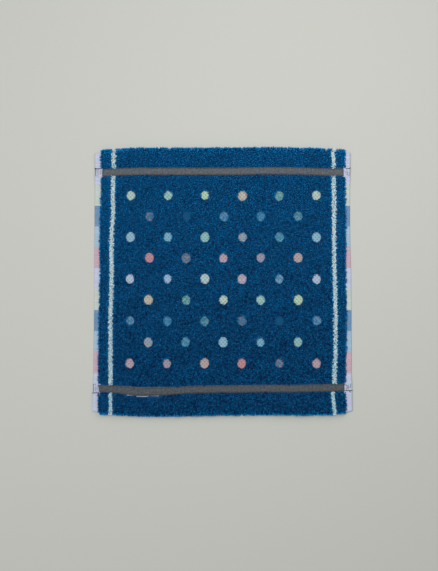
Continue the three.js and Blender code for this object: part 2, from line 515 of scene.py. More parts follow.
# rows of loops round a fold, reaching out to the fold's line and a little further at some corners
foldLoops = {
    "pitch": 0.6,
    "rows": (-0.9, 0.0, 0.9),
    "jitter": 0.4,
    "facing": 0.55,
    "leastFacing": 0.3,
    "extra": 0.5,
    "shortest": 1.3,
    "longest": 3.8,
    "spread": (0.93, 1.03),
    "turnSpread": 0.5,
    "lean": 0.5,
    "cornerReach": {(-1, -1): 1.2, (-1, 1): 0.0, (1, -1): 0.8, (1, 1): 0.8},
    "cornerFrom": 104.0,
    "cornerRun": 8.0,
}

# pale loops standing closer together, in a stripe along each side
stripe = {
    "inset": {-1: 11.3, 1: 10.7},
    "halfWidth": 1.8,
    "ragged": 0.36,
    "rows": 4,
    "pitch": 0.9,
    "jitter": 0.36,
    "taller": 0.1,
    # painted reflected light: blue loops within edgeReach of a stripe are lighter by edgeGlow; pale loops
    # there are darker and bluer by edgeDim
    "edgeReach": 2.6,
    "edgeGlow": 0.65,
    "edgeDim": 0.12,
    "wander": {
        -1: [
            {"y": -126.0, "aside": 0.0, "width": 0.85},
            {"y": -108.0, "aside": -0.1, "width": 0.78},
            {"y": -98.0, "aside": 0.0, "width": 1.0},
            {"y": -56.0, "aside": 0.1, "width": 1.0},
            {"y": -30.0, "aside": -0.5, "width": 1.05},
            {"y": 0.0, "aside": -0.1, "width": 1.0},
            {"y": 44.0, "aside": 0.0, "width": 1.0},
            {"y": 63.0, "aside": 1.2, "width": 0.9},
            {"y": 82.0, "aside": 0.1, "width": 1.0},
            {"y": 96.0, "aside": 0.1, "width": 1.05},
            {"y": 108.0, "aside": 0.7, "width": 1.0},
            {"y": 126.0, "aside": 0.8, "width": 1.0},
        ],
        1: [
            {"y": -126.0, "aside": 0.3, "width": 0.8},
            {"y": -118.0, "aside": -0.3, "width": 0.8},
            {"y": -107.0, "aside": -1.2, "width": 0.85},
            {"y": -97.0, "aside": 0.4, "width": 1.05},
            {"y": -76.0, "aside": 0.6, "width": 0.9},
            {"y": 0.0, "aside": 0.2, "width": 0.95},
            {"y": 40.0, "aside": -0.6, "width": 0.95},
            {"y": 86.0, "aside": -0.2, "width": 1.05},
            {"y": 108.0, "aside": 0.0, "width": 0.82},
            {"y": 126.0, "aside": -0.6, "width": 0.8},
        ],
    },
}

# what is uneven is a sum of waves: edges of the pile and stripes, lean of the pile, tufts of loops
waves = {
    "edge": {"count": 6, "lengths": (2.2, 6.5)},
    "nap": {"count": 6, "lengths": (14.0, 40.0)},
    "tuft": {"count": 14, "lengths": (2.6, 6.5)},
}
edgeWaves = {}
for edge in ("pile", "stripeLow", "stripeHigh"):
    for side in (-1, 1):
        shortest, longest = waves["edge"]["lengths"]
        size = (waves["edge"]["count"], 2)
        edgeWaves[edge, side] = dice.uniform((shortest, 0.0), (longest, 2.0 * math.pi), size)


def ragged(edge, side, y):
    swings = [np.sin(2.0 * math.pi * y / length + phase) for length, phase in edgeWaves[edge, side]]
    return np.sum(swings, axis=0) / math.sqrt(len(swings) / 2.0)


def stripeEdges(side, y):
    # x of a stripe's two edges at places along the cloth
    rows = stripe["wander"][side]
    along = [row["y"] for row in rows]
    middle = sideAt("pile", side, y) - side * stripe["inset"][side]
    middle = middle + np.interp(y, along, [row["aside"] for row in rows])
    half = stripe["halfWidth"] * np.interp(y, along, [row["width"] for row in rows])
    low = middle - half + stripe["ragged"] * ragged("stripeLow", side, y)
    high = middle + half + stripe["ragged"] * ragged("stripeHigh", side, y)
    return low, high


def intoStripe(x, y):
    # how far inside a stripe's edges a place lies, below nought outside
    depths = []
    for side in (-1, 1):
        low, high = stripeEdges(side, y)
        depths.append(np.minimum(x - low, high - x))
    return np.maximum(depths[0], depths[1])


def columnAt(x, y):
    left, right = sideAt("pile", -1, y), sideAt("pile", 1, y)
    return ground["selvedgeColumns"] + (x - left) / (right - left) * ground["pileColumns"]


# columns and rows of the ground's table to each millimetre of pile
pileWidth = float(np.mean(sideLine["pile", 1]) - np.mean(sideLine["pile", -1]))
perColumn, perRow = ground["pileColumns"] / pileWidth, (ground["rows"] - 1) / clothLength
firstColumn = ground["selvedgeColumns"]


def gridFeet():
    # a jittered, staggered grid over the whole pile, round the folds and under the hems too
    pitch = loopShape["pitch"]
    across, along = int(round(pileWidth / pitch)), int(round(clothLength / pitch))
    column, row = np.meshgrid(np.arange(across), np.arange(along), indexing="ij")
    column, row = column.ravel().astype(float), row.ravel().astype(float)
    column += 0.25 + 0.5 * (row % 2) + wobble(1.0, len(column)) * loopShape["jitter"]
    row += 0.5 + wobble(1.0, len(row)) * loopShape["jitter"]
    column = firstColumn + column / across * pileWidth * perColumn
    return [(column, row / along * clothLength * perRow, "pile")]


def rowsAlong(step):
    places = np.arange(0.5, clothLength, step)
    return (places + wobble(pileBounds["rowJitter"], len(places)) * step) * perRow


def yAlong(side, row):
    inset = stripe["inset"][side] * perColumn
    column = firstColumn + (inset if side < 0 else ground["pileColumns"] - inset)
    return onGround(np.full(len(row), column), row, groundPlaces)[:, 1]


def edgeFeet():
    sets = []
    for side in (-1, 1):
        row = rowsAlong(pileBounds["edgePitch"])
        y = yAlong(side, row)
        inset = pileBounds["edgeInset"] + pileBounds["edgeRagged"] * ragged("pile", side, y)
        inset = inset + wobble(pileBounds["edgeJitter"], len(row))
        sets.append((columnAt(sideAt("pile", side, y) - side * inset, y), row, "pile"))
    return sets


def foldFeet():
    sets = []
    across = np.arange(0.5, pileWidth, foldLoops["pitch"])
    tableColumn = np.round(firstColumn + across * perColumn).astype(int)
    for tips in (np.argmin(groundPlaces[:, :, 1], axis=1), np.argmax(groundPlaces[:, :, 1], axis=1)):
        for offset in foldLoops["rows"]:
            row = tips[tableColumn] + (offset + wobble(foldLoops["jitter"], len(across))) * perRow
            column = firstColumn + (across + wobble(foldLoops["jitter"], len(across))) * perColumn
            place = onGround(column, row, groundPlaces)
            within = intoStripe(place[:, 0], place[:, 1]) > 0.0
            sets.append((column[~within], row[~within], "pile"))
            sets.append((column[within], row[within], "stripe"))
    return sets


def stripeFeet():
    sets = []
    for side in (-1, 1):
        for line in range(stripe["rows"]):
            row = rowsAlong(stripe["pitch"])
            y = yAlong(side, row)
            low, high = stripeEdges(side, y)
            x = blend(low, high, (line + 0.5) / stripe["rows"])
            x = x + wobble(1.0, len(row)) * stripe["jitter"]
            sets.append((columnAt(x, y), row, "stripe"))
    return sets


def ringRound(place, size):
    # loops stand close together all round a dot's window
    halfWidth, halfLength = dots["halfWidth"] * size, dots["halfLength"] * size
    count = int(round(math.pi * (halfWidth + halfLength) / dots["ringPitch"]))
    turn = (np.arange(count) + wobble(dots["ringTurn"], count)) * 2.0 * math.pi / count
    power = dots["roundness"]
    shareX, shareY = np.abs(np.cos(turn) / halfWidth), np.abs(np.sin(turn) / halfLength)
    out = (shareX ** power + shareY ** power) ** (-1.0 / power)
    out = out + dots["ringInset"] + wobble(dots["ringRagged"], count)
    return place[0] + out * np.cos(turn), place[1] + out * np.sin(turn)


def ringFeet():
    sets = []
    for place, size in zip(dotPlaces, dotSizes):
        x, y = ringRound(place, size)
        along = groundPlaces[int(round(float(columnAt(place[0], place[1])))), :, 1]
        upper = np.arange(np.argmin(along), np.argmax(along))
        sets.append((columnAt(x, y), np.interp(y, along[upper], upper), "ring"))
    return sets


def placeFeet():
    # column, row and kind of every place where a loop could stand
    sets = gridFeet() + edgeFeet() + foldFeet() + stripeFeet() + ringFeet()
    column = np.concatenate([part[0] for part in sets])
    row = np.concatenate([part[1] for part in sets])
    kind = np.concatenate([np.full(len(part[0]), part[2]) for part in sets])
    return column, row, kind


def outFromTape(x, y):
    # which end each place belongs to, and how far out from the middle of that end's tape it lies
    end = np.where(y > 0, 1, -1)
    return end, (y - atEitherEnd("tape", end, x)) * end


def insideEdges(x, y):
    return x - sideAt("pile", -1, y), sideAt("pile", 1, y) - x


def alongLoose(end, x):
    # the stretch where the lower tape has come away from the pile
    return (end < 0) & (x > pileBounds["looseFrom"]) & (x < pileBounds["looseTo"])


def findSites():
    # how each of those places lies to the tapes, the folds, the edges, the dots and the stripes
    column, row, kind = placeFeet()
    foot = onGround(column, row, groundPlaces)
    up = unit(onGround(column, row, groundUp))
    x, y = foot[:, 0], foot[:, 1]
    end, fromTape = outFromTape(x, y)
    outer = fromTape > 0
    loose = alongLoose(end, x) & outer
    bed = np.where(outer, pileBounds["outerBed"], pileBounds["innerBed"])
    bed = np.where(loose, pileBounds["looseBed"], bed)
    bed = bed + tapeSpread(end, x) * np.where(outer, tape["spread"]["lower"], tape["spread"]["upper"])
    dotOut, toDot = nearestDot(x, y)
    fromLeft, fromRight = insideEdges(x, y)
    return SimpleNamespace(
        foot=foot, up=up, x=x, y=y, end=end, count=len(x),
        upper=up[:, 2] > pileBounds["upward"],
        pale=kind == "stripe",
        ring=kind == "ring",
        fromTape=fromTape,
        loose=loose,
        bed=bed,
        foldLine=atEitherEnd("fold", end, x),
        onFold=up[:, 1] * end > foldLoops["facing"],
        dotOut=dotOut,
        toDot=toDot,
        fromEdge=np.minimum(fromLeft, fromRight),
        edgeSide=np.where(fromLeft < fromRight, -1, 1),
        intoPale=intoStripe(x, y),
    )


def keepLoops(site):
    # leaves the dots, the tapes' beds and the flat weave at the tapes' ends bare
    fromTape = np.abs(site.fromTape)
    keep = (fromTape > site.bed) & (site.ring | ~site.upper | (site.dotOut > 1.0 + dots["ringClear"]))
    thinned = dice.uniform(0.0, 1.0, site.count) < pileBounds["underShare"]
    keep &= site.upper | ((site.fromTape > pileBounds["underStart"]) & thinned)
    keep &= site.pale | (site.intoPale < 0.0)
    uneven = np.where(site.edgeSide < 0, ragged("pile", -1, site.y), ragged("pile", 1, site.y))
    keep &= site.fromEdge > pileBounds["edgeRagged"] * uneven
    bareBed = site.bed + pileBounds["bareBed"]
    keep &= (site.fromEdge > pileBounds["bareEnd"]) | (fromTape > bareBed)
    endRound = pileBounds["endRound"]
    intoEdge = np.maximum(endRound - site.fromEdge, 0.0)
    intoBed = np.maximum(bareBed + endRound - fromTape, 0.0)
    return keep & (np.hypot(intoEdge, intoBed) < endRound)


def swingAt(x, y, lengths):
    # one wave over the cloth, with a random length, heading and phase
    length = dice.uniform(*lengths)
    heading = dice.uniform(0.0, 2.0 * math.pi)
    phase = dice.uniform(0.0, 2.0 * math.pi)
    return np.sin((x * math.cos(heading) + y * math.sin(heading)) / length * 2.0 * math.pi + phase)


def napAt(x, y):
    # slow drift of the way the pile leans, in patches a few centimetres wide
    drift = np.zeros((len(x), 2))
    count = waves["nap"]["count"]
    for wave in range(count):
        drift[:, wave % 2] += swingAt(x, y, waves["nap"]["lengths"]) / (count / 2.0)
    return drift


def tuftAt(x, y):
    # loops cling together in tufts a few millimetres wide, some standing out lighter than others
    swell = np.zeros(len(x))
    count = waves["tuft"]["count"]
    for _ in range(count):
        swell += swingAt(x, y, waves["tuft"]["lengths"])
    return swell / math.sqrt(count / 2.0)


# how far loops lean beside the dots, the tapes and the selvedges
pileLean = {
    "dotReach": 1.4,
    "dotShare": 0.5,
    "tapeReach": 1.5,
    "towardsTape": 0.45,
    "edgeReach": 1.6,
    "towardsEdge": 0.5,
    "paleShare": 0.6,
}


def leanLoops(site, nap):
    lean = dice.normal(0.0, loopShape["lean"], (site.count, 2)) + loopShape["napLean"] * nap
    lean[site.upper & (site.dotOut < pileLean["dotReach"])] *= pileLean["dotShare"]
    besideTape = site.upper & (np.abs(site.fromTape) < site.bed + pileLean["tapeReach"]) & ~site.loose
    lean[besideTape, 1] -= (pileLean["towardsTape"] * site.end * np.sign(site.fromTape))[besideTape]
    besideEdge = site.fromEdge < pileLean["edgeReach"]
    lean[besideEdge, 0] += pileLean["towardsEdge"] * site.edgeSide[besideEdge]
    lean[site.pale] *= pileLean["paleShare"]
    lean[site.onFold] *= foldLoops["lean"]
    return lean


def raiseLoops(site, tuft):
    # heights and thicknesses: loops on a fold reach its line, loops beneath a hem stop at the floor
    low, high = loopShape["heightRange"]
    height = loopShape["height"] * (1.0 + loopShape["heightSpread"] * dice.uniform(low, high, site.count))
    height = height * (1.0 + loopShape["tuftHeight"] * tuft) + stripe["taller"] * site.pale
    radius = loopShape["radius"] + dice.normal(0.0, loopShape["radiusSpread"] / 2.0, site.count)
    half = ground["thick"] / 2.0
    facing = site.up[:, 1] * site.end
    reach = (site.foldLine - site.y) * site.end - half * facing
    reach = reach / np.maximum(facing, foldLoops["leastFacing"])
    for (end, side), further in foldLoops["cornerReach"].items():
        corner = smooth((side * site.x - foldLoops["cornerFrom"]) / foldLoops["cornerRun"])
        reach = reach + (site.end == end) * further * corner
    reach = reach - radius + loopShape["sink"] + foldLoops["extra"]
    reach = np.clip(reach, foldLoops["shortest"], foldLoops["longest"])
    height = np.where(site.onFold, reach * dice.uniform(*foldLoops["spread"], site.count), height)
    down = -site.up[:, 2]
    room = site.foot[:, 2] - down * half - radius - loopShape["floorGap"]
    room = np.maximum(room / np.maximum(down, loopShape["downward"]), loopShape["leastRoom"])
    return np.where(down > loopShape["downward"], np.minimum(height, room), height), radius


def turnLoops(site):
    turn = dice.uniform(0.0, 2.0 * math.pi, site.count)
    turn = np.where(site.onFold, dice.normal(0.0, foldLoops["turnSpread"], site.count), turn)
    return np.where(site.ring, np.arctan2(site.toDot[:, 1], site.toDot[:, 0]) + math.pi / 2.0, turn)


# lightness of the yarn, loop by loop: tone that differs at random, by tufts and by nap, with painted light
# on top: painted highlights along the folds, the selvedges and the side margins, painted light reflected
# beside the pale stripes, and a painted falloff of light from the upper hem to the lower
pileShade = {
    "base": 0.405,
    # drift: painted falloff of light along the cloth, the pile lighter towards the upper hem and darker
    # towards the lower
    "drift": 0.0014,
    "spread": 0.21,
    "spreadDrift": 0.0016,
    "tuft": 0.08,
    "nap": 0.08,
    "foldHighlight": {1: 0.25, -1: 0.5},
    "edgeHighlight": 0.2,
    "edgeReach": 1.2,
    "foldGlow": {1: 0.3, -1: 0.12},
    "glowReach": 7.0,
    "margin": 0.1,
    "marginFrom": 104.0,
    "marginRun": 6.0,
    "paleLift": 0.12,
    "darkest": -0.2,
    "lightest": 1.3,
}


def shadeLoops(site, nap, tuft):
    # painted highlights on the loops of the folds and by the selvedges, and painted light fading in from
    # each fold
    foldHighlight, foldGlow = pileShade["foldHighlight"], pileShade["foldGlow"]
    edgeHighlight = pileShade["edgeHighlight"] * (site.fromEdge < pileShade["edgeReach"])
    rim = np.where(site.onFold, np.where(site.end > 0, foldHighlight[1], foldHighlight[-1]), edgeHighlight)
    nearFold = np.clip(1.0 - np.abs(site.foldLine - site.y) / pileShade["glowReach"], 0.0, 1.0)
    rim = rim + np.where(site.end > 0, foldGlow[1], foldGlow[-1]) * nearFold * ~site.pale
    # painted reflected light: blue loops beside a stripe lighter, as if lit by the pale yarn; pale loops at
    # its edges a little darker
    besideEdge = np.clip(1.0 - np.abs(site.intoPale) / stripe["edgeReach"], 0.0, 1.0)
    rim = rim + np.where(site.pale, -stripe["edgeDim"], stripe["edgeGlow"]) * besideEdge
    # painted falloff of light: lighter towards the upper hem, darker towards the lower; the pale loops only
    # darken below the middle
    drift = pileShade["drift"] * np.where(site.pale, np.minimum(site.y, 0.0), site.y)
    shade = pileShade["base"] + drift + rim + pileShade["tuft"] * tuft
    # painted highlight: lighter in the side margins towards the selvedges
    margin = smooth((np.abs(site.x) - pileShade["marginFrom"]) / pileShade["marginRun"])
    shade = shade + pileShade["margin"] * margin + pileShade["nap"] * nap[:, 0]
    uneven = dice.normal(0.0, pileShade["spread"], site.count)
    shade = shade + uneven * (1.0 - pileShade["spreadDrift"] * site.y)
    return np.clip(shade, pileShade["darkest"], pileShade["lightest"]) + pileShade["paleLift"] * site.pale


def shapeLoops():
    # every loop that is kept, with its place, shape and yarn
    site = findSites()
    keep = keepLoops(site)
    nap = napAt(site.x, site.y)
    lean = leanLoops(site, nap)
    tuft = tuftAt(site.x, site.y)
    height, radius = raiseLoops(site, tuft)
    turn = turnLoops(site)
    shade = shadeLoops(site, nap, tuft)
    widthSpread = dice.normal(0.0, loopShape["widthSpread"] / 2.0, site.count)
    loops = {
        "foot": site.foot + site.up * ground["thick"] / 2.0,
        "up": site.up,
        "lean": lean * height[:, None] / loopShape["height"],
        "height": height,
        "radius": radius,
        "width": loopShape["width"] * (1.0 + widthSpread),
        "turn": turn,
        "curl": dice.normal(0.0, loopShape["curl"], site.count),
        "shade": shade,
        "pale": site.pale,
        "zone": np.where(site.fromTape > 0, site.end, 0),
    }
    return {key: value[keep] for key, value in loops.items()}


# each tube's own square in the bake: its walls below, its two ends above
bakeSquare = {
    "walls": 0.8,
    "endAcross": (0.25, 0.75),
    "endUp": 0.91,
    "endHalfWidth": 0.2,
    "endHalfHeight": 0.07,
    "margin": 0.03,
}


def tubeFaces(sides):
    # corners of one tube's faces, where each face starts, and the corners' places in its bake square
    rings = loopShape["rings"]
    corners, starts, spots = [], [], []
    for ring in range(rings - 1):
        low, high = (bakeSquare["walls"] * step / (rings - 1) for step in (ring, ring + 1))
        for k in range(sides):
            a, b = ring * sides + k, ring * sides + (k + 1) % sides
            near, far = k / sides, (k + 1) / sides
            starts.append(len(corners))
            corners += [a, a + sides, b + sides, b]
            spots += [(near, low), (near, high), (far, high), (far, low)]
    around = list(range(sides))
    ends = ((0, around), ((rings - 1) * sides, around[::-1]))
    for (first, order), middle in zip(ends, bakeSquare["endAcross"]):
        starts.append(len(corners))
        corners += [first + k for k in order]
        for k in around:
            turn = 2.0 * math.pi * k / sides
            spots.append((middle + bakeSquare["endHalfWidth"] * math.cos(turn),
                          bakeSquare["endUp"] + bakeSquare["endHalfHeight"] * math.sin(turn)))
    return np.array(corners), np.array(starts), np.array(spots)


def archRise():
    # how high each ring of a tube stands, from foot to foot
    arc = np.linspace(0.0, math.pi, loopShape["rings"])
    return arc, np.sin(arc) ** loopShape["arch"]


def tubePoints(loops, sides):
    # points of every tube, bent from foot to foot and leaning its own way
    arc, rise = archRise()
    spread = -np.cos(arc) * (1.0 + loopShape["belly"] * np.sin(arc))
    up = loops["up"]
    level = unit(np.array([1.0, 0.0, 0.0]) - up * up[:, :1])
    other = np.cross(up, level)
    cosine, sine = np.cos(loops["turn"])[:, None], np.sin(loops["turn"])[:, None]
    along, across = level * cosine + other * sine, other * cosine - level * sine
    lean = level * loops["lean"][:, :1] + other * loops["lean"][:, 1:]
    halfWidth = loops["width"][:, None] / 2.0
    line = loops["foot"][:, None, :] + along[:, None, :] * (halfWidth * spread)[:, :, None]
    line = line + up[:, None, :] * (loops["height"][:, None] * rise - loopShape["sink"])[:, :, None]
    line = line + lean[:, None, :] * (rise ** loopShape["leanArch"])[None, :, None]
    line = line + across[:, None, :] * (loops["curl"][:, None] * np.sin(2.0 * arc))[:, :, None]
    line[:, :, 2] = np.maximum(line[:, :, 2], loops["radius"][:, None] + loopShape["floorGap"])
    tangent = unit(np.gradient(line, axis=1))
    flat = across[:, None, :] - tangent * np.sum(across[:, None, :] * tangent, axis=2, keepdims=True)
    flat = unit(flat)
    normal = np.cross(tangent, flat)
    points = np.zeros((len(up), len(arc), sides, 3))
    for k in range(sides):
        angle = 2.0 * math.pi * k / sides
        ring = normal * math.cos(angle) + flat * math.sin(angle)
        points[:, :, k] = line + ring * loops["radius"][:, None, None]
    return points


def growTubes(name, loops, material, sides):
    # joined mesh of bent tubes, one for each foot
    points = tubePoints(loops, sides)
    count, rings = points.shape[:2]
    corners, starts, spots = tubeFaces(sides)
    tubes = np.arange(count)[:, None]
    allCorners = (corners[None] + tubes * rings * sides).ravel()
    allStarts = (starts[None] + tubes * len(corners)).ravel()
    mesh = bpy.data.meshes.new(name)
    mesh.vertices.add(count * rings * sides)
    mesh.vertices.foreach_set("co", (points * mm).ravel())
    mesh.loops.add(len(allCorners))
    mesh.loops.foreach_set("vertex_index", allCorners)
    mesh.polygons.add(len(allStarts))
    mesh.polygons.foreach_set("loop_start", allStarts)
    mesh.polygons.foreach_set("use_smooth", np.ones(len(allStarts), dtype=bool))
    mesh.update(calc_edges=True)

    grid = math.ceil(math.sqrt(count))
    cell = np.column_stack([np.arange(count) % grid, np.arange(count) // grid])
    margin = bakeSquare["margin"]
    flatMap = (cell[:, None, :] + margin + (1.0 - 2.0 * margin) * spots[None]) / grid
    mesh.uv_layers.new(name="OFBake").data.foreach_set("uv", flatMap.ravel())
    # the yarn attribute: each tube's lightness, painted light included, and how high each ring stands,
    # which the material turns into painted shade towards the feet
    yarn = np.ones((count, rings, sides, 4))
    yarn[..., 0] = loops["shade"][:, None, None]
    yarn[..., 1] = archRise()[1][None, :, None]
    mesh.attributes.new("yarn", "FLOAT_COLOR", "POINT").data.foreach_set("color", yarn.ravel())
    return addObject(name, mesh, material)


# node helpers for one material or node group
def nodeTools(tree):
    nodes, links = tree.nodes, tree.links

    def feed(node, inputs):
        # another node's output is linked, a plain number or colour is set on the socket itself
        for socket, value in inputs.items():
            if isinstance(value, (int, float, list)):
                node.inputs[socket].default_value = value
            else:
                links.new(value, node.inputs[socket])

    def add(kind, inputs, **settings):
        node = nodes.new("ShaderNode" + kind)
        for setting, value in settings.items():
            setattr(node, setting, value)
        feed(node, inputs)
        return node

    def calc(operation, *values):
        return add("Math", dict(enumerate(values)), operation=operation).outputs[0]

    def rounded(value, pitch):
        # one hump to each pitch, as round yarns side by side
        return calc("ABSOLUTE", calc("SINE", calc("MULTIPLY", value, math.pi / pitch)))

    def mix(share, first, second, way="MIX"):
        return add("Mix", {0: share, 6: first, 7: second}, data_type="RGBA", blend_type=way).outputs[2]

    def stepRamp(share, colours):
        node = add("ValToRGB", {0: share})
        node.color_ramp.interpolation = "CONSTANT"
        elements = node.color_ramp.elements
        while len(elements) < len(colours):
            elements.new(0.5)
        for place, colour in enumerate(colours):
            elements[place].position = place / len(colours)
            elements[place].color = colour
        return node.outputs[0]

    def dress(shader, colour, height, finish):
        # colour, relief and sheen of one finish, its relief given in millimetres
        relief = {"Strength": finish["bump"], "Distance": finish["bumpDepth"] * mm, "Height": height}
        feed(shader, {"Base Color": colour, "Normal": add("Bump", relief).outputs[0]})
        feed(shader, {"Roughness": finish["roughness"], "Specular IOR Level": finish["gloss"]})

    return SimpleNamespace(feed=feed, add=add, calc=calc, rounded=rounded, mix=mix, stepRamp=stepRamp,
                           dress=dress)


def newMaterial(name):
    material = bpy.data.materials.new(name)
    material.use_nodes = True
    return material, nodeTools(material.node_tree), material.node_tree.nodes["Principled BSDF"]


# yarn of the loops: lighter and darker loops, with painted shade darkening each loop down between them
# towards its feet
yarnFinish = {"bump": 0.4, "bumpDepth": 0.1, "roughness": 0.9, "gloss": 0.08}
yarnFuzz = {"scale": 2600.0, "detail": 2.0, "shade": 0.5}
loopYarns = {
    "terryBlue": {"deep": paint(0, 46, 88), "light": paint(13, 136, 204), "foot": 0.4},
    "terryPale": {"deep": paint(162, 210, 223), "light": paint(252, 249, 241), "foot": 0.77},
}


def yarnMaterial(name, recipe):
    material, tools, shader = newMaterial(name)
    attribute = tools.add("Attribute", {}, attribute_name="yarn")
    parts = tools.add("SeparateColor", {0: attribute.outputs["Color"]})
    place = tools.add("TexCoord", {}).outputs["Object"]
    grain = {"Vector": place, "Scale": yarnFuzz["scale"], "Detail": yarnFuzz["detail"]}
    fuzz = tools.add("TexNoise", grain).outputs[0]
    uneven = tools.calc("MULTIPLY_ADD", fuzz, yarnFuzz["shade"], -yarnFuzz["shade"] / 2.0)
    shade = tools.calc("ADD", parts.outputs[0], uneven)
    colour = tools.mix(shade, recipe["deep"], recipe["light"])
    # painted shade: the colour turns darker from each tube's crown down to its feet, by its foot share
    footShade = [channel * recipe["foot"] for channel in recipe["deep"][:3]] + [1.0]
    colour = tools.mix(parts.outputs[1], footShade, colour)
    tools.dress(shader, colour, fuzz, yarnFinish)
    return material


# ground weave: plain weave of five warp colours by five weft colours, a check under the pile
weave = {
    "warpPitch": 0.9,
    "weftPitch": 0.62,
    "warpStart": -96.9,
    "warpStripe": 17.72,
    "warpMargin": 98.0,
    "warpRows": 4.6,
    "weftStart": 92.3,
    "weftStripe": 19.96,
    "weftHeld": (-9.5, 0.5),
    "windowRows": 4.5,
    "windowMargin": 0.35,
    "latticeShift": 40.0,
    "tint": 0.65,
    "selvedgeTint": 0.42,
    "floatAcross": 1.5,
    "floatAlong": 1.3,
    "floatChance": 0.5,
    "floatShare": 0.55,
    "light": 0.8,
    "roundLight": 0.2,
    "unevenLight": 0.14,
    "selvedgeDim": 0.04,
    "speckAcross": 3.5,
    "speckAlong": 3.7,
    "speckFrom": 0.3,
    "speckShare": 0.4,
    "warp": [
        paint(190, 204, 212),
        paint(200, 170, 170),
        paint(150, 190, 208),
        paint(58, 140, 166),
        paint(190, 210, 192),
    ],
    "weft": [
        paint(224, 242, 212),
        paint(0, 136, 182),
        paint(168, 216, 230),
        paint(230, 180, 184),
        paint(220, 230, 248),
    ],
    "darkWarp": 3,
    "darkWeft": 1,
    "darkShare": 0.8,
    "selvedgeWarp": paint(204, 205, 222),
    "pile": paint(4, 74, 128),
    "darkCross": paint(0, 72, 118),
    # under the stripes the ground has the pale yarn's colour darkened: partly the pale pile's own yarn,
    # partly painted shade between the pale loops
    "palePile": paint(120, 178, 204),
    "finish": {"bump": 0.7, "bumpDepth": 0.25, "roughness": 0.88, "gloss": 0.25},
}


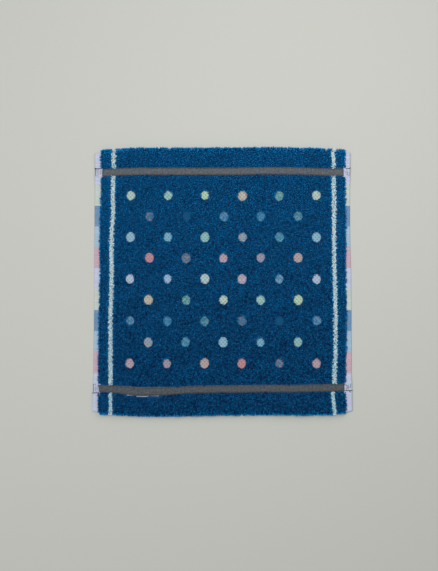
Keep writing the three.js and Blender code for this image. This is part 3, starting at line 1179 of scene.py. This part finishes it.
def checkGroup():
    group = bpy.data.node_groups.new("wovenCheck", "ShaderNodeTree")
    group.interface.new_socket(name="Place", in_out="INPUT", socket_type="NodeSocketVector")
    group.interface.new_socket(name="Colour", in_out="OUTPUT", socket_type="NodeSocketColor")
    for name in ("Height", "Window"):
        group.interface.new_socket(name=name, in_out="OUTPUT", socket_type="NodeSocketFloat")
    tools = nodeTools(group)
    calc, mix, rounded = tools.calc, tools.mix, tools.rounded
    entry, leave = group.nodes.new("NodeGroupInput"), group.nodes.new("NodeGroupOutput")
    x, y, _ = tools.add("SeparateXYZ", {0: entry.outputs[0]}).outputs

    def product(*values):
        result = values[0]
        for value in values[1:]:
            result = calc("MULTIPLY", result, value)
        return result

    def stripes(value, start, width, colours):
        turn = calc("FRACT", calc("MULTIPLY", calc("SUBTRACT", value, start), 1.0 / (len(colours) * width)))
        return turn, tools.stepRamp(turn, colours)

    def onStripe(turn, number, colours):
        return calc("COMPARE", turn, (number + 0.5) / len(colours), 0.5 / len(colours))

    def counted(value, pitch):
        return calc("FLOOR", calc("DIVIDE", value, pitch))

    fromMiddle = calc("ABSOLUTE", calc("SUBTRACT", y, dots["centre"][1]))
    inMargin = calc("GREATER_THAN", calc("ABSOLUTE", x), weave["warpMargin"])
    inHem = calc("GREATER_THAN", fromMiddle, weave["warpRows"] * dots["pitchAlong"])
    outside = calc("MAXIMUM", inMargin, inHem)
    warpTurn, warp = stripes(x, weave["warpStart"], weave["warpStripe"], weave["warp"])
    warp = mix(outside, warp, weave["selvedgeWarp"])
    lowest, highest = (weave["weftStart"] + share * weave["weftStripe"] for share in weave["weftHeld"])
    held = calc("MINIMUM", calc("MAXIMUM", y, lowest), highest)
    weftTurn, weft = stripes(held, weave["weftStart"], -weave["weftStripe"], weave["weft"])

    # over and under, yarn by yarn, each tinted by the yarn it crosses
    warpCount, weftCount = counted(x, weave["warpPitch"]), counted(y, weave["weftPitch"])
    over = calc("ABSOLUTE", calc("MODULO", calc("ADD", warpCount, weftCount), 2.0))
    warpRound = product(over, rounded(x, weave["warpPitch"]))
    weftRound = product(calc("SUBTRACT", 1.0, over), rounded(y, weave["weftPitch"]))
    height = calc("ADD", warpRound, weftRound)
    crossed = mix(1.0, warp, weft, "MULTIPLY")
    colour = mix(over, weft, warp)

    # here and there a yarn floats over two or three others, so the weave looks speckled
    cell = {0: counted(x, weave["floatAcross"]), 1: counted(y, weave["floatAlong"])}
    cell = tools.add("CombineXYZ", cell).outputs[0]
    chance = tools.add("TexWhiteNoise", {"Vector": cell}, noise_dimensions="2D").outputs["Value"]
    floats = mix(calc("LESS_THAN", chance, weave["floatChance"]), weft, warp)
    floatShare = product(calc("SUBTRACT", 1.0, outside), weave["floatShare"])
    colour = mix(floatShare, colour, floats)
    lessTint = product(outside, weave["tint"] - weave["selvedgeTint"])
    colour = mix(calc("SUBTRACT", weave["tint"], lessTint), colour, crossed)
    # each weft row a little lighter or darker at random, and painted shade on every yarn: lighter on its
    # crown, darker down its sides
    uneven = tools.add("TexWhiteNoise", {"W": weftCount}, noise_dimensions="1D").outputs["Value"]
    roundLight, unevenLight = product(height, weave["roundLight"]), product(uneven, weave["unevenLight"])
    evenLight = calc("SUBTRACT", weave["light"], product(outside, weave["selvedgeDim"]))
    light = calc("ADD", calc("ADD", roundLight, unevenLight), evenLight)
    colour = mix(1.0, colour, light, "MULTIPLY")

    # windows of the dots, two staggered lattices, with specks where pile yarn dips through the weave
    def apart(value, pitch, middle, half):
        moved = calc("ADD", value, weave["latticeShift"] * pitch - middle)
        near = calc("PINGPONG", moved, pitch / 2.0)
        return calc("POWER", calc("DIVIDE", near, half + weave["windowMargin"]), 2.0)

    def lattice(shiftX, shiftY):
        apartX = apart(x, dots["pitchAcross"], dots["centre"][0] + shiftX, dots["halfWidth"])
        apartY = apart(y, 2.0 * dots["pitchAlong"], dots["centre"][1] + shiftY, dots["halfLength"])
        return calc("LESS_THAN", calc("ADD", apartX, apartY), 1.0)

    both = calc("MAXIMUM", lattice(dots["pitchAcross"] / 2.0, 0.0), lattice(0.0, dots["pitchAlong"]))
    within = calc("LESS_THAN", calc("ABSOLUTE", x), weave["warpMargin"])
    inRows = calc("LESS_THAN", fromMiddle, weave["windowRows"] * dots["pitchAlong"])
    window = product(both, within, inRows)
    speckX = calc("SINE", calc("MULTIPLY", x, 2.0 * math.pi / weave["speckAcross"]))
    speckY = calc("SINE", calc("MULTIPLY", y, 2.0 * math.pi / weave["speckAlong"]))
    speck = calc("GREATER_THAN", product(speckX, speckY), weave["speckFrom"])
    colour = mix(product(speck, window, weave["speckShare"]), colour, weave["pile"])
    # the darkest warp and weft are the pile's own yarn, so a dot where they cross hardly shows
    darkWarp = onStripe(warpTurn, weave["darkWarp"], weave["warp"])
    darkWeft = onStripe(weftTurn, weave["darkWeft"], weave["weft"])
    colour = mix(product(darkWarp, darkWeft, window, weave["darkShare"]), colour, weave["darkCross"])
    tools.feed(leave, {"Colour": colour, "Height": height, "Window": window})
    return group


def groundMaterial(name, group, underPile):
    material, tools, shader = newMaterial(name)
    uv = tools.add("UVMap", {}, uv_map="weave").outputs[0]
    colour, height, window = tools.add("Group", {"Place": uv}, node_tree=group).outputs
    if underPile:
        cover = tools.add("Attribute", {}, attribute_name="underPile").outputs["Fac"]
        within = tools.add("Attribute", {}, attribute_name="intoStripe").outputs["Fac"]
        covered, striped = (tools.calc("GREATER_THAN", depth, 0.0) for depth in (cover, within))
        hidden = tools.add("Math", {0: covered, 1: window}, operation="SUBTRACT", use_clamp=True)
        # under the stripes the ground is a darkened pale, partly painted shade between the pale loops
        yarn = tools.mix(striped, weave["pile"], weave["palePile"])
        colour = tools.mix(hidden.outputs[0], colour, yarn)
    tools.dress(shader, colour, height, weave["finish"])
    return material


# table rows that become mesh rows: every one round a fold, every other in a hem, few in the field
meshRows = {"foldReach": 12, "hemFrom": 88.0, "hemStep": 2, "fieldStep": 6}


def pickRows():
    middleY = groundPlaces[middleColumn, :, 1]
    last = ground["rows"] - 1
    foldRow = min(np.argmin(middleY), last - np.argmax(middleY))
    picked = []
    for row in range(ground["rows"]):
        step = meshRows["hemStep"] if abs(middleY[row]) > meshRows["hemFrom"] else meshRows["fieldStep"]
        if abs(min(row, last - row) - foldRow) < meshRows["foldReach"]:
            step = 1
        if row % step == 0 or row == last:
            picked.append(row)
    return picked


# ground left bare: along the selvedges, at the tapes' ends and where the lower tape has come away
bareGround = {"edge": 0.5, "tape": 4.2, "looseFrom": 2.5, "looseMargin": 0.4, "looseHeight": 1.2}


def pileCover(x, y, z):
    # how far, in mm, a place on the ground lies inside the pile, below nought where it is bare
    end, fromTape = outFromTape(x, y)
    fromEdge = np.minimum(*insideEdges(x, y))
    fromTapeEnd = np.maximum(fromEdge - pileBounds["bareEnd"], np.abs(fromTape) - bareGround["tape"])
    cover = np.minimum(fromEdge - bareGround["edge"], fromTapeEnd)
    loose = alongLoose(end, x) & (z > bareGround["looseHeight"]) & (fromTape > bareGround["looseFrom"])
    loose &= fromTape < pileBounds["looseBed"] + bareGround["looseMargin"]
    return np.where(loose, -1.0, cover)


def makeGround():
    columns = groundPlaces.shape[0]
    picked = pickRows()
    rows = len(picked)
    bm = bmesh.new()
    bmesh.ops.create_grid(bm, x_segments=columns - 1, y_segments=rows - 1, size=1.0)
    uvLayer = bm.loops.layers.uv.new("weave")
    cover = bm.verts.layers.float.new("underPile")
    within = bm.verts.layers.float.new("intoStripe")
    x, y, z = np.moveaxis(groundPlaces, 2, 0)
    coverTable, stripeTable = pileCover(x, y, z), intoStripe(x, y)
    where = {}
    for vertex in bm.verts:
        column = round((vertex.co.x + 1.0) / 2.0 * (columns - 1))
        row = picked[round((vertex.co.y + 1.0) / 2.0 * (rows - 1))]
        where[vertex] = (column, row)
        vertex[cover] = coverTable[column, row]
        vertex[within] = stripeTable[column, row]
        vertex.co = Vector(groundPlaces[column, row]) * mm
    for face in bm.faces:
        face.smooth = True
        for corner in face.loops:
            column, row = where[corner.vert]
            x, y = groundPlaces[column, row, :2]
            corner[uvLayer].uv = (x - drawnIn(x, y), groundLengths[column, row])
    mesh = finishMesh("clothGround", bm)
    group = checkGroup()
    piece = addObject("clothGround", mesh, groundMaterial("groundFront", group, True),
                      groundMaterial("groundBack", group, False))
    wall = thicken(piece, ground["thick"])
    wall.material_offset = 1
    wall.material_offset_rim = 1
    return piece


clothGround = makeGround()
print("ground sheet made")

blueTerry = yarnMaterial("terryBlue", loopYarns["terryBlue"])
paleTerry = yarnMaterial("terryPale", loopYarns["terryPale"])
allLoops = shapeLoops()
isBlue = ~allLoops["pale"]
panels = pileBounds["fieldPanels"]
panelEdges = np.linspace(panels["from"], panels["to"], panels["count"] + 1)[1:-1]
inPanel = np.digitize(allLoops["foot"][:, 1], panelEdges)


def growTerry(name, chosen, material):
    loops = {key: value[chosen] for key, value in allLoops.items()}
    return growTubes(name, loops, material, loopShape["sides"])


pilePieces = [growTerry("terryStripes", allLoops["pale"], paleTerry)]
for end, name in ((-1, "terryHemBottom"), (1, "terryHemTop")):
    pilePieces.append(growTerry(name, isBlue & (allLoops["zone"] == end), blueTerry))
for panel in range(panels["count"]):
    chosen = isBlue & (allLoops["zone"] == 0) & (inPanel == panel)
    pilePieces.append(growTerry("terryField" + str(panel + 1), chosen, blueTerry))
for piece in pilePieces:
    print(piece.name, len(piece.data.loops) - 2 * len(piece.data.polygons), "triangles")


def tapeMaterial(name, colours):
    material, tools, shader = newMaterial(name)
    calc, rounded = tools.calc, tools.rounded
    uv = tools.add("UVMap", {}, uv_map="weave").outputs[0]
    x, y, _ = tools.add("SeparateXYZ", {0: uv}).outputs
    aslant = calc("ADD", x, calc("MULTIPLY", y, tape["ribSlant"]))
    height = calc("MULTIPLY", rounded(aslant, tape["rib"]), rounded(y, tape["rib"]))
    grain = {"Vector": uv, "Scale": tape["mottleScale"], "Detail": tape["mottleDetail"]}
    noise = tools.add("TexNoise", grain).outputs[0]
    mottle = calc("MULTIPLY_ADD", noise, tape["mottleGain"], tape["mottleStart"])
    # painted shade on the ribs: the colour turns lighter on each rib's crown and darker in its hollows,
    # mottled at random
    share = calc("MULTIPLY_ADD", height, tape["ribShare"], mottle)
    tools.dress(shader, tools.mix(share, colours[0], colours[1]), height, tape["finish"])
    return material


def makeTape(name, end):
    bm = bmesh.new()
    bmesh.ops.create_grid(bm, x_segments=tape["columns"], y_segments=tape["rows"], size=1.0)
    uvLayer = bm.loops.layers.uv.new("weave")
    middle = float(endAt("tape", end, 0.0))

    def cutAt(side, rise):
        # the tape is cut off at each end a little inside the pile's edge, not always squarely
        gap = tape["endGaps"][end, side]
        return float(sideAt("pile", side, middle)) - side * blend(gap["lower"], gap["upper"], rise)

    def acrossAt(vertex):
        rise = (vertex.co.y + 1.0) / 2.0
        return blend(cutAt(-1, rise), cutAt(1, rise), (vertex.co.x + 1.0) / 2.0)

    for face in bm.faces:
        face.smooth = True
        for corner in face.loops:
            corner[uvLayer].uv = (acrossAt(corner.vert), corner.vert.co.y * tape["width"] / 2.0)
    for vertex in bm.verts:
        share = vertex.co.y
        x = acrossAt(vertex)
        pucker = tape["pucker"] * abs(share) * math.cos(2.0 * math.pi * x / tape["puckerLength"])
        wider = float(tapeSpread(end, x)) * tape["spread"]["upper" if share > 0 else "lower"]
        y = float(endAt("tape", end, x)) + share * (tape["width"] / 2.0 + pucker + wider)
        z = tape["base"] + tape["thick"] / 2.0 + tape["crown"] * math.cos(share * math.pi / 2.0) + pucker
        vertex.co = Vector((x, y, z)) * mm
    piece = addObject(name, finishMesh(name, bm), tapeMaterial(name + "Weave", tape["colours"][end]))
    thicken(piece, tape["thick"])
    return piece


tapeTop, tapeBottom = makeTape("tapeTop", 1), makeTape("tapeBottom", -1)
print("tapes made")


# sewing: rows along both edges of each tape, and the seams' ends left on the selvedges, from x, y to x, y
sewing = {
    "pitch": 2.5,
    "length": 1.9,
    "inset": 0.75,
    "height": 0.3,
    "reach": 114.0,
    "clear": 0.03,
    "bury": 0.05,
    "curl": 0.12,
    "shade": 0.5,
    "shadeSpread": 0.25,
    "sides": 6,
    "sheetReach": 121.6,
    "rayHeight": 30.0,
    "radius": {"tape": 0.14, "darkEnds": 0.35, "thinEnds": 0.22, "paleEnds": 0.22},
    "darkEnds": [
        (-122.1, 107.5, -118.3, 107.5), (-118.7, 107.5, -115.4, 107.8), (-121.9, 108.1, -121.2, 106.9),
        (118.2, 107.3, 121.5, 107.8), (121.1, 107.7, 122.7, 108.3),
        (-122.8, -106.1, -118.3, -105.7),
        (116.0, -103.7, 119.4, -103.7), (119.1, -103.7, 122.2, -103.5), (119.6, -104.2, 120.5, -105.1),
    ],
    "thinEnds": [
        (-121.6, 107.5, -121.6, 104.0), (-121.6, 104.4, -121.5, 100.9),
        (-121.4, -97.8, -119.3, -97.6), (-121.4, -97.8, -121.5, -101.9), (-121.5, -101.5, -121.6, -105.8),
        (-118.7, -105.7, -115.5, -104.9),
        (120.8, -97.4, 120.6, -101.0), (115.7, -98.2, 118.5, -99.7),
    ],
    "paleEnds": [
        (-120.0, 106.9, -120.1, 101.9), (-118.5, 107.1, -118.6, 101.5), (-116.9, 106.9, -116.9, 101.9),
        (-115.4, 106.9, -115.2, 102.3), (-121.5, 100.9, -118.8, 100.5),
        (117.4, 104.2, 121.6, 103.2), (118.3, 101.9, 121.4, 100.9), (122.2, 107.1, 121.8, 101.3),
        (119.3, 105.8, 119.7, 101.3),
        (-119.1, -99.1, -120.0, -102.5), (-120.0, -102.3, -118.9, -105.3), (-117.4, -98.9, -118.7, -102.1),
        (-118.5, -101.7, -116.4, -104.4),
        (116.6, -101.9, 119.8, -100.4), (118.9, -98.2, 118.3, -102.9), (117.2, -99.5, 116.8, -103.0),
    ],
}
# foot: painted shade at the stitches' ends, as at the loops' feet
threadYarns = {
    "threadDark": {"deep": paint(36, 40, 48), "light": paint(70, 74, 82), "foot": 0.8},
    "threadPale": {"deep": paint(116, 120, 134), "light": paint(160, 164, 178), "foot": 0.9},
}
threadFinishes = {name: yarnMaterial(name, recipe) for name, recipe in threadYarns.items()}


def sewStitches(name, rows, heights, thread, radius):
    # each stitch a low arch from hole to hole
    rows = np.array(rows)
    across, along = rows[:, 2] - rows[:, 0], rows[:, 3] - rows[:, 1]
    count = len(rows)
    middle = np.column_stack([(rows[:, 0] + rows[:, 2]) / 2.0, (rows[:, 1] + rows[:, 3]) / 2.0, heights])
    stitches = {
        "foot": middle + np.array([0.0, 0.0, loopShape["sink"] - sewing["bury"]]),
        "up": np.tile([0.0, 0.0, 1.0], (count, 1)),
        "lean": np.zeros((count, 2)),
        "height": np.full(count, sewing["height"]),
        "radius": np.full(count, radius),
        "width": np.hypot(across, along),
        "turn": np.arctan2(along, across),
        "curl": dice.normal(0.0, sewing["curl"], count),
        "shade": np.clip(sewing["shade"] + dice.normal(0.0, sewing["shadeSpread"], count), 0.0, 1.0),
    }
    return growTubes(name, stitches, threadFinishes[thread], sewing["sides"])


def tapeStitches():
    rows = []
    inset = tape["width"] / 2.0 - sewing["inset"]
    for end in (-1, 1):
        for x0 in np.arange(-sewing["reach"], sewing["reach"], sewing["pitch"]):
            x1 = x0 + sewing["length"]
            y0, y1 = float(endAt("tape", end, x0)), float(endAt("tape", end, x1))
            rows += [(x0, y0 + way * inset, x1, y1 + way * inset) for way in (-1, 1)]
    heights = np.full(len(rows), tape["base"] + tape["thick"] + sewing["clear"])
    return sewStitches("tapeStitches", rows, heights, "threadDark", sewing["radius"]["tape"])


def endStitches(name, kind, thread):
    # the seams' ends lie on the selvedges, so their height is read off the ground sheet
    sheet = rayTree(clothGround)
    heights = []
    for x0, y0, x1, y1 in sewing[kind]:
        x = max(-sewing["sheetReach"], min(sewing["sheetReach"], (x0 + x1) / 2.0))
        above = Vector((x, (y0 + y1) / 2.0, sewing["rayHeight"]))
        hit = sheet.ray_cast(above, Vector((0.0, 0.0, -1.0)))[0]
        heights.append(hit.z + ground["thick"] / 2.0)
    return sewStitches(name, sewing[kind], heights, thread, sewing["radius"][kind])


threads = [tapeStitches(), endStitches("seamEndsDark", "darkEnds", "threadDark"),
           endStitches("seamEndsThin", "thinEnds", "threadDark"),
           endStitches("seamEndsPale", "paleEnds", "threadPale")]
print("sewing done")


# floor, light and the soft shade of the room
studio = {
    "floorSize": 8.0,
    "floorSteps": 8,
    "floor": paint(192, 193, 186),
    "floorRoughness": 0.9,
    "floorGloss": 0.1,
    "lights": [
        {"name": "sideLight", "place": (-0.45, 0.12, 1.5), "size": 0.9, "power": 14.1},
        {"name": "rearLight", "place": (0.15, 0.25, 0.45), "size": 0.5, "power": 0.95},
    ],
    "worldColour": (0.97, 0.985, 1.0, 1.0),
    "worldStrength": 0.345,
}


def buildStudio():
    bm = bmesh.new()
    steps = studio["floorSteps"]
    bmesh.ops.create_grid(bm, x_segments=steps, y_segments=steps, size=studio["floorSize"] / 2.0)
    mesh = finishMesh("floor", bm)
    material, tools, shader = newMaterial("paleFloor")
    tools.feed(shader, {"Base Color": studio["floor"]})
    tools.feed(shader, {"Roughness": studio["floorRoughness"], "Specular IOR Level": studio["floorGloss"]})
    addObject("floor", mesh, material)
    for recipe in studio["lights"]:
        data = bpy.data.lights.new(recipe["name"], "AREA")
        data.shape = "DISK"
        data.size = recipe["size"]
        data.energy = recipe["power"]
        lamp = bpy.data.objects.new(recipe["name"], data)
        lamp.location = recipe["place"]
        lamp.rotation_euler = (-Vector(recipe["place"])).to_track_quat("-Z", "Y").to_euler()
        scene.collection.objects.link(lamp)
    world = bpy.data.worlds.new("softRoom")
    world.use_nodes = True
    backdrop = world.node_tree.nodes["Background"]
    backdrop.inputs[0].default_value = studio["worldColour"]
    backdrop.inputs[1].default_value = studio["worldStrength"]
    scene.world = world
    scene.view_settings.view_transform = "Standard"


buildStudio()
print("studio ready")

# hand every piece to the frame
sewnOn = [tapeTop, tapeBottom] + threads
for piece in [clothGround] + pilePieces + sewnOn:
    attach(piece, "root")
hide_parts("cloth")
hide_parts("band_top")
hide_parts("band_bottom")
